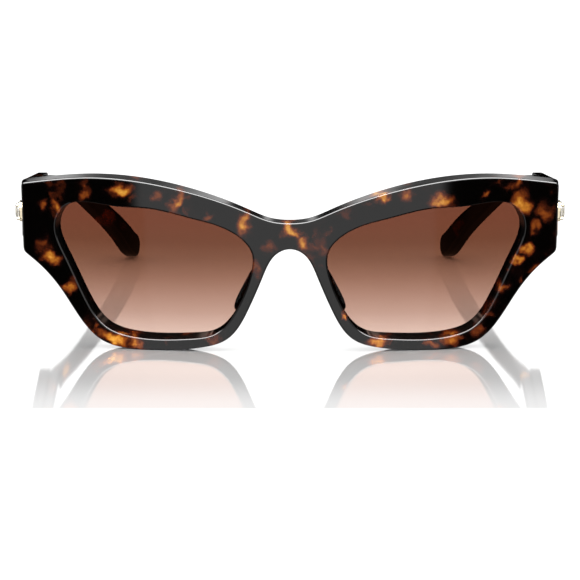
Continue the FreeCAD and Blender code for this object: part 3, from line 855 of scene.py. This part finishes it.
def aperture_loop(surface):
    """The aperture's edge where its cone meets one of the front's surfaces, in the front's frame."""
    focus = lens_to_front(np.array([[0.0, RIM_FOCUS, 0.0]]))
    edge = lens_to_front(np.column_stack([RIM_LOOP[:, 0], np.zeros(len(RIM_LOOP)), RIM_LOOP[:, 1]]))
    ray = edge - focus
    share = np.ones(len(ray))
    for _ in range(CONE_ROUNDS):
        point = focus + ray * share[:, None]
        share += (surface(point[:, 0], point[:, 2]) - point[:, 1]) / ray[:, 1]
    point = focus + ray * share[:, None]
    return point[:, [0, 2]]


def oriented(loop, hole=False):
    """The loop turned so that the material is on its left."""
    return loop[::-1].copy() if (signed_area(loop) < 0) != hole else loop


def mirror_loop(loop):
    return np.column_stack([-loop[::-1, 0], loop[::-1, 1]])


def front_outline():
    top = spline(mirrored(TOP_EDGE)[:-1] + TOP_EDGE, EDGE_STEP)
    lower = spline(LOWER_EDGE + mirrored(LOWER_EDGE)[1:], EDGE_STEP)
    return rounded(np.vstack([top, lower]), OUTLINE_ROUND, EDGE_STEP)


def make_front(material):
    outline = oriented(front_outline())
    pairs = [(outline, outline)]
    near, far = aperture_loop(front_face), aperture_loop(front_rear)
    for n_loop, f_loop in ((near, far), (mirror_loop(near), mirror_loop(far))):
        pairs.append((oriented(n_loop, True), oriented(f_loop, True)))
    plate = Plate(front_face, front_rear, front_place, pairs, *FRONT_MESH)
    declare(plate.build("front_acetate", material, floor=True), "front", "tortoiseshell", "front_frame")


def make_lenses(material):
    near = oriented(cone_loop(lens_face, RIM_COVER))
    far = oriented(cone_loop(lens_back, RIM_COVER))
    plate = Plate(lens_face, lens_back, lens_place, [(near, far)], *LENS_MESH)
    for name, side in SIDES.items():
        piece = plate.build(f"{name}_lens_glass", material, side)
        declare(piece, "front", "gradient_lens", f"{name}_lens")


# ------------------------------------------------------------------ temples


# Edge roundings and grid steps as above.
ARM_MESH = (0.5, 0.9, 1.8)
BAR_MESH = (0.7, 0.12, 2.5)
# How far the corners of the side views are softened.
SIDE_ROUND = 1.0
# The depth at which the side views start, before they are cut to the mitre.
FRONT_END = 10.0
MITRE_ROUNDS = 4
TIP_POINTS = 24


def temple_place(u, v, w):
    return np.column_stack([w, u - ORIGIN_DEPTH, v])


def track(points):
    """Across as a function of depth: straight to the second point and curved through the rest."""
    bend = spline(points[1:], CURVE_STEP) if len(points) > 2 else np.array(points[1:], float)
    line = np.vstack([[points[0]], bend])

    def across(u, v):
        return np.interp(u, line[:, 0], line[:, 1])
    return across


def mitre_depth(across, up):
    """The depth of the plane that a temple's front end is cut to."""
    start = BRIDGE_THICKNESS + float(sag(BACK_RADIUS, MITRE_ACROSS)) + MITRE_GAP
    local = start + math.tan(MITRE_ANGLE) * (across - MITRE_ACROSS)
    return local / math.cos(LEAN) - (up + DROP) * math.tan(LEAN)


def mitred(side, surface):
    """The side view with its front end moved to the mitre plane of one face."""
    side = np.array(side, float)
    first = side[:, 0] <= FRONT_END
    for _ in range(MITRE_ROUNDS):
        side[first, 0] = mitre_depth(surface(side[first, 0], None), side[first, 1])
    return rounded(side, SIDE_ROUND, CURVE_STEP)


def arc_through(a, b, c, count):
    """Points of the arc from a through b to c."""
    (ax, ay), (bx, by), (cx, cy) = a, b, c
    d = 2 * (ax * (by - cy) + bx * (cy - ay) + cx * (ay - by))
    aa, bb, cc = ax**2 + ay**2, bx**2 + by**2, cx**2 + cy**2
    ux = (aa * (by - cy) + bb * (cy - ay) + cc * (ay - by)) / d
    uy = (aa * (cx - bx) + bb * (ax - cx) + cc * (bx - ax)) / d
    start, end = math.atan2(ay - uy, ax - ux), math.atan2(cy - uy, cx - ux)
    radius = math.hypot(ax - ux, ay - uy)
    return [(ux + radius * math.cos(t), uy + radius * math.sin(t)) for t in np.linspace(start, end, count)]


def temple_plate(side, outer, inner, mesh):
    near, far = mitred(side, outer), mitred(side, inner)
    count = min(len(near), len(far))
    near, far = resample(near, count), resample(far, count)
    if signed_area(near) < 0:
        near, far = near[::-1].copy(), far[::-1].copy()
    return Plate(outer, inner, temple_place, [(near, far)], *mesh)


def make_temples(material):
    tip = arc_through(ARM_TOP[-1], ARM_TIP, ARM_BOTTOM[0], TIP_POINTS)
    arm_side = np.vstack([[ARM_FRONT_TOP], spline(ARM_TOP, CURVE_STEP), tip[1:-1],
                          spline(ARM_BOTTOM, CURVE_STEP), [ARM_FRONT_BOTTOM]])
    arm_outer = track([ARM_FRONT_OUTER] + ARM_OUTER)
    arm_inner = track([ARM_FRONT_INNER] + ARM_INNER)
    arm = temple_plate(arm_side, arm_outer, arm_inner, ARM_MESH)
    bar = temple_plate(BAR_SIDE, track(BAR_OUTER), track(BAR_INNER), BAR_MESH)
    for name, side in SIDES.items():
        piece = arm.build(f"{name}_arm_acetate", material, side, floor=True)
        declare(piece, f"{name}_temple", "tortoiseshell", f"{name}_temple_arm")
        piece = bar.build(f"{name}_bar_acetate", material, side)
        declare(piece, f"{name}_temple", "tortoiseshell", f"{name}_temple_bar")


# ------------------------------------------------------------------ nose pads


PAD_STRIPS = 40
PAD_TURNS = 48
# The pad is a rounded block: a ball whose sines and cosines are raised to this power.
PAD_POWER = 2.0 / 3.4


def bent(value):
    return math.copysign(abs(value) ** PAD_POWER, value)


def make_pads(material):
    tilt = Matrix.Rotation(-PAD_TILT, 3, "Y") @ Matrix.Rotation(-PAD_SPLAY, 3, "Z")
    points = []
    for i in range(PAD_STRIPS + 1):
        high = -math.pi / 2 + math.pi * i / PAD_STRIPS
        for j in range(PAD_TURNS):
            turn = 2 * math.pi * j / PAD_TURNS
            local = Vector((PAD_HALF[0] * (1 + bent(math.cos(high)) * bent(math.cos(turn))),
                            PAD_HALF[1] * (1 + bent(math.cos(high)) * bent(math.sin(turn))),
                            PAD_HALF[2] * bent(math.sin(high))))
            moved = tilt @ local
            points.append((moved.x + PAD_CORNER[0], moved.z + PAD_CORNER[2], moved.y + PAD_CORNER[1]))
    faces = tube_walls(PAD_STRIPS + 1, PAD_TURNS)
    placed = front_place(*np.array(points).T)
    for name, side in SIDES.items():
        shown = placed * np.array([side, 1.0, 1.0])
        turned = [f[::-1] for f in faces] if side < 0 else faces
        piece = mesh_piece(f"{name}_pad_acetate", shown, turned, material, smooth_angle=math.pi)
        weld(piece)
        declare(piece, "front", "tortoiseshell", f"{name}_nose_pad")


def weld(piece, distance=1e-6):
    bm = bmesh.new()
    bm.from_mesh(piece.data)
    bmesh.ops.remove_doubles(bm, verts=bm.verts, dist=distance)
    bmesh.ops.recalc_face_normals(bm, faces=bm.faces)
    bm.to_mesh(piece.data)
    bm.free()


# ------------------------------------------------------------------ crystals


CUP_RADIUS = 2.9
CUP_HEIGHT = 0.9
GIRDLE_RADIUS = 2.55
TABLE_RADIUS = 1.35
CROWN = 1.1
# The cup's section: radius and distance out from the bar's face.
CUP_PROFILE = [
    (0.02, -0.3), (2.6, -0.3), (2.85, -0.2), (CUP_RADIUS, 0.0), (2.86, 0.35), (CUP_RADIUS, 0.62),
    (2.86, 0.82), (2.72, CUP_HEIGHT), (2.5, 0.86), (2.42, 0.6), (2.0, 0.2), (0.02, 0.1),
]
CUP_TURNS = 64
PRONGS = 4
PRONG_TURNS = 12
PRONG_RINGS = 9
PRONG_CENTRE = 2.62
PRONG_RADIUS = 0.34
PRONG_TIP_RADIUS = 0.02
PRONG_FOOT = 0.1
PRONG_LENGTH = 1.88
# The shares of a prong's length from which it leans inwards and from which its end is rounded.
PRONG_LEAN_FROM = 0.55
PRONG_LEAN = 0.5
PRONG_ROUND_FROM = 0.75
# The stone's rings of corners: radius, distance out, corners, turn in steps.
STONE_RINGS = [
    (TABLE_RADIUS, CUP_HEIGHT + CROWN, 8, 0.5), (2.05, CUP_HEIGHT + 0.78, 8, 0.0),
    (GIRDLE_RADIUS, CUP_HEIGHT + 0.28, 16, 0.0), (GIRDLE_RADIUS, CUP_HEIGHT + 0.08, 16, 0.0),
    (1.2, CUP_HEIGHT - 0.45, 8, 0.5), (0.3, CUP_HEIGHT - 0.8, 8, 0.0),
]
FLAT_ANGLE = math.radians(1.0)
CUP_SMOOTH_ANGLE = math.radians(50)
CUP_WELD = 1e-7


def lathe(profile, turns):
    """Points and faces of a profile of (radius, out) spun about the outward axis."""
    points = []
    for radius, out in profile:
        for t in range(turns):
            a = 2 * math.pi * t / turns
            points.append((radius * math.cos(a), radius * math.sin(a), out))
    return points, tube_faces(len(profile), turns)


def prong(angle):
    """Points and faces of one prong, at an angle about the outward axis."""
    c, s = math.cos(angle), math.sin(angle)
    points = []
    for share in np.linspace(0.0, 1.0, PRONG_RINGS):
        lean = PRONG_CENTRE - PRONG_LEAN * max(0.0, share - PRONG_LEAN_FROM)
        end = max(0.0, share - PRONG_ROUND_FROM) / (1 - PRONG_ROUND_FROM)
        thick = max(PRONG_RADIUS * math.sqrt(max(0.0, 1 - end ** 2)), PRONG_TIP_RADIUS)
        for t in range(PRONG_TURNS):
            a = 2 * math.pi * t / PRONG_TURNS
            radial, sideways = lean + thick * math.cos(a), thick * math.sin(a)
            points.append((radial * c - sideways * s, radial * s + sideways * c,
                           PRONG_FOOT + PRONG_LENGTH * share))
    return points, tube_faces(PRONG_RINGS, PRONG_TURNS)


def cup_parts():
    """The cup with its beaded rim, and the prongs, about the middle of the bar's outer face."""
    angles = [2 * math.pi * (number + 0.5) / PRONGS for number in range(PRONGS)]
    return [lathe(CUP_PROFILE, CUP_TURNS)] + [prong(angle) for angle in angles]


def stone_mesh(name):
    """A brilliant cut: the hull of the table, crown, girdle and pavilion corners."""
    bm = bmesh.new()
    for radius, out, count, offset in STONE_RINGS:
        for k in range(count):
            a = 2 * math.pi * (k + offset) / count
            bm.verts.new((radius * math.cos(a) * MM, radius * math.sin(a) * MM, out * MM))
    bmesh.ops.convex_hull(bm, input=bm.verts)
    bmesh.ops.dissolve_limit(bm, angle_limit=FLAT_ANGLE, verts=bm.verts, edges=bm.edges)
    mesh = bpy.data.meshes.new(name)
    bm.to_mesh(mesh)
    bm.free()
    return mesh


def make_crystals(gold, glass):
    for name, side in SIDES.items():
        low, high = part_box(f"{name}_crystal")
        middle = (low + high) / 2
        outer = high.x if side > 0 else low.x
        base = Vector((outer - side * (CUP_HEIGHT + CROWN) * MM, middle.y, middle.z))
        turn = Matrix(((0, 0, side), (0, side, 0), (-1, 0, 0)))
        place = Matrix.Translation(base) @ turn.to_4x4()

        points, faces = [], []
        for some_points, some_faces in cup_parts():
            start = len(points)
            points += some_points
            faces += [tuple(start + k for k in face) for face in some_faces]
        cup = mesh_piece(f"{name}_setting_gold", points, faces, gold, smooth_angle=CUP_SMOOTH_ANGLE)
        cup.data.transform(place)
        weld(cup, CUP_WELD)
        declare(cup, f"{name}_temple", "pale_gold", f"{name}_crystal_setting")

        stone = bpy.data.objects.new(f"{name}_crystal_cut", stone_mesh(f"{name}_crystal_cut"))
        stone.data.transform(place)
        stone.data.materials.append(glass)
        bpy.context.scene.collection.objects.link(stone)
        declare(stone, f"{name}_temple", "crystal", f"{name}_crystal")


# ------------------------------------------------------------------ hinges


def dress(node, material):
    """Gives a carried-over CAD node its material."""
    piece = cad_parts[node]
    if not piece.material_slots:
        piece.data.materials.append(material)
    for slot in piece.material_slots:
        slot.material = material


# Metals: name, colour, roughness, grain scale and grain strength.
HINGE_METAL = ("hinge_nickel", (0.55, 0.54, 0.52), 0.26, 1500.0, 0.12)
SCREW_METAL = ("screw_steel", (0.70, 0.70, 0.71), 0.18, 1400.0, 0.2)
CORE_METAL = ("core_nickel", (0.60, 0.59, 0.57), 0.3, 700.0, 0.2)
SETTING_METAL = ("pale_gold_polish", (0.92, 0.80, 0.58), 0.14, 1200.0, 0.08)


def dress_metal():
    steel, screw, core = (metal_material(*metal) for metal in (HINGE_METAL, SCREW_METAL, CORE_METAL))
    for name in SIDES:
        dress(f"{name}_front_hinge_leaf", steel)
        dress(f"{name}_temple_hinge_leaf", steel)
        dress(f"{name}_hinge_screw", screw)
        dress(f"{name}_core_wire", core)


# ------------------------------------------------------------------ the scene


bpy.context.scene.view_settings.view_transform = "Standard"
make_camera()
make_world()
make_floor()
make_lamp()
havana = temple_acetate()
make_front(front_acetate())
make_lenses(lens_material())
make_temples(havana)
make_pads(havana)
make_crystals(metal_material(*SETTING_METAL), crystal_material())
dress_metal()
